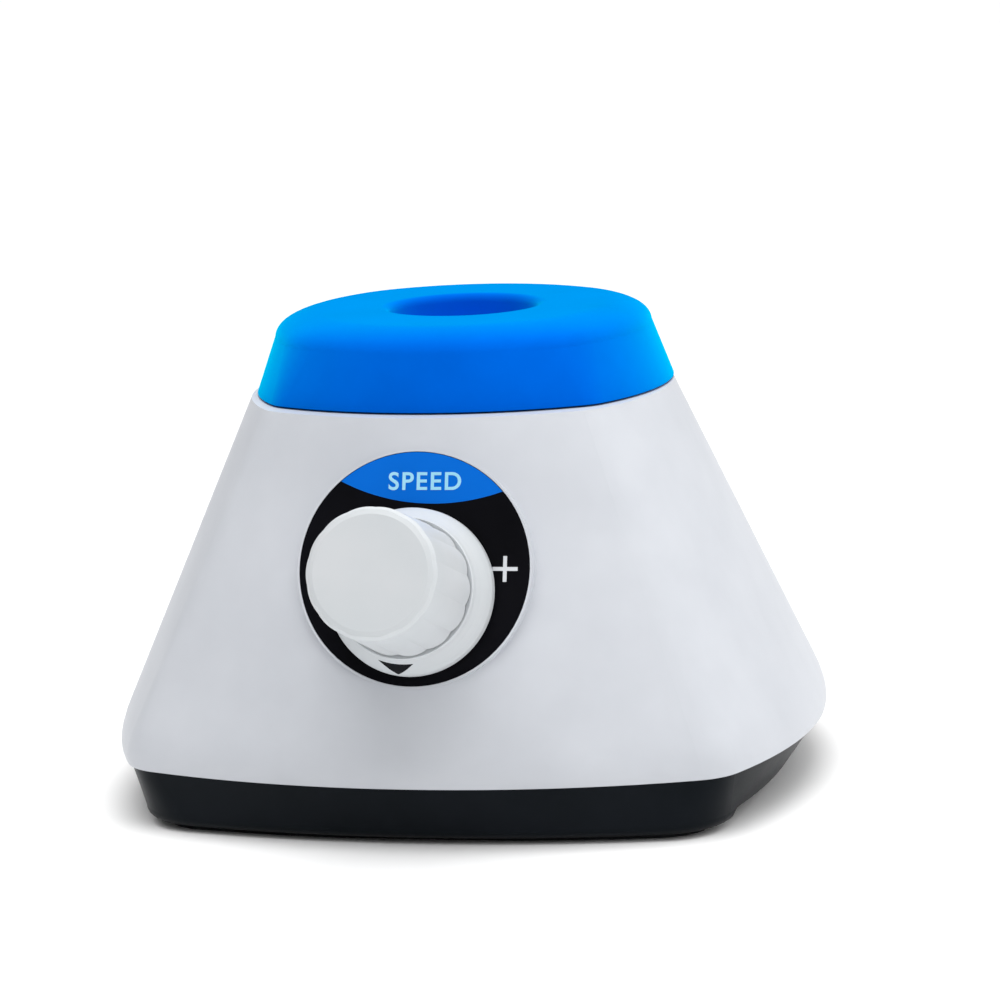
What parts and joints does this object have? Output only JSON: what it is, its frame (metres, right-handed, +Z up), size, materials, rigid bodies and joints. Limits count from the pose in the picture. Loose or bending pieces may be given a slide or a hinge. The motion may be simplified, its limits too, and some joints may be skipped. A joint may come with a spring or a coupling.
{
  "type": "vortex mixer",
  "caption": "Small vortex mixer: leaning square housing on a black tray, front speed knob, and a round-topped rubber cap with a tube cup that orbits when the motor turns.",
  "frame": {"origin": "centre of the bounding box's bottom, on the surface that the mixer stands on", "axes": "+Z up, along the cup; the front with the knob faces -Y; +X to the right seen from the front"},
  "size_m": [0.1038, 0.108, 0.07],
  "materials": {
    "white_shell": "fine satin moulded plastic",
    "white_knob": "satin moulded plastic",
    "black_tray": "satin moulded plastic",
    "blue_rubber": "smooth silicone rubber",
    "foot_rubber": "matte rubber",
    "label_film": "semi-gloss printed film",
    "grommet_rubber": "matte rubber",
    "head_aluminium": "machined",
    "zinc_steel": "zinc plated",
    "black_steel": "black oxide",
    "turned_steel": "turned",
    "bearing_steel": "polished",
    "motor_steel": "nickel plated",
    "copper": "enamelled copper",
    "brass": "plain brass",
    "carbon": "sintered carbon",
    "ferrite": "ferrite",
    "natural_nylon": "natural nylon",
    "black_plastic": "moulded plastic",
    "green_board": "solder mask",
    "red_wire": "wire insulation",
    "black_wire": "wire insulation",
    "grey_wire": "wire insulation"
  },
  "bodies": {
    "housing": {"housing_shell": "white_shell", "base_tray": "black_tray", "foot_strip_front": "foot_rubber", "foot_strip_rear": "foot_rubber", "base_screws": "zinc_steel", "ballast_plate": "zinc_steel", "ballast_screws": "zinc_steel", "dial_label": "label_film", "pot_bushing": "brass", "pot_body": "black_plastic", "pot_terminals": "brass", "pot_washer": "zinc_steel", "pot_nut": "zinc_steel", "motor_can": "motor_steel", "motor_bushes": "brass", "motor_end_cap": "natural_nylon", "motor_magnets": "ferrite", "motor_brushes": "carbon", "motor_terminals": "brass", "motor_bracket": "zinc_steel", "motor_screws": "zinc_steel", "bracket_grommets": "grommet_rubber", "bracket_screws": "zinc_steel", "orbit_posts": "turned_steel", "post_sleeves": "grommet_rubber", "circuit_board": "green_board", "board_screws": "zinc_steel", "board_capacitor": "black_plastic", "board_chips": "black_plastic", "board_connectors": "natural_nylon", "dc_jack": "black_plastic", "jack_pin": "brass", "jack_nut": "zinc_steel", "jack_terminals": "brass", "motor_wires": "black_wire", "power_wires": "red_wire", "control_wires": "grey_wire"},
    "knob": {"speed_knob": "white_knob", "pot_shaft": "turned_steel"},
    "rotor": {"motor_shaft": "turned_steel", "motor_armature": "motor_steel", "motor_windings": "copper", "commutator": "copper", "eccentric_hub": "turned_steel", "hub_set_screw": "black_steel", "counterweight": "turned_steel", "weight_screws": "zinc_steel", "bearing_inner_ring": "bearing_steel"},
    "ball_cage": {"bearing_balls": "bearing_steel", "bearing_cage": "natural_nylon"},
    "head": {"rubber_cap": "blue_rubber", "head_plate": "head_aluminium", "bearing_outer_ring": "bearing_steel", "bearing_retainer": "zinc_steel", "retainer_screws": "zinc_steel"}
  },
  "joints": [
    {"name": "motor_spin", "type": "hinge", "parent": "housing", "child": "rotor", "pos_m": [0, 0.00935, 0.0433], "axis": [0, 0, 1], "continuous": true},
    {"name": "head_orbit", "type": "hinge", "parent": "rotor", "child": "head", "pos_m": [0, 0.01135, 0.0503], "axis": [0, 0, 1], "continuous": true},
    {"name": "cage_roll", "type": "hinge", "parent": "rotor", "child": "ball_cage", "pos_m": [0, 0.01135, 0.0503], "axis": [0, 0, 1], "continuous": true},
    {"name": "knob_turn", "type": "hinge", "parent": "housing", "child": "knob", "pos_m": [0, -0.02739, 0.03498], "axis": [0, 0.9479, -0.3186], "range_deg": [0, 300]}
  ],
  "couplings": [
    {"joint": "head_orbit", "follows": "motor_spin", "ratio": -1},
    {"joint": "cage_roll", "follows": "motor_spin", "ratio": -0.65385}
  ]
}
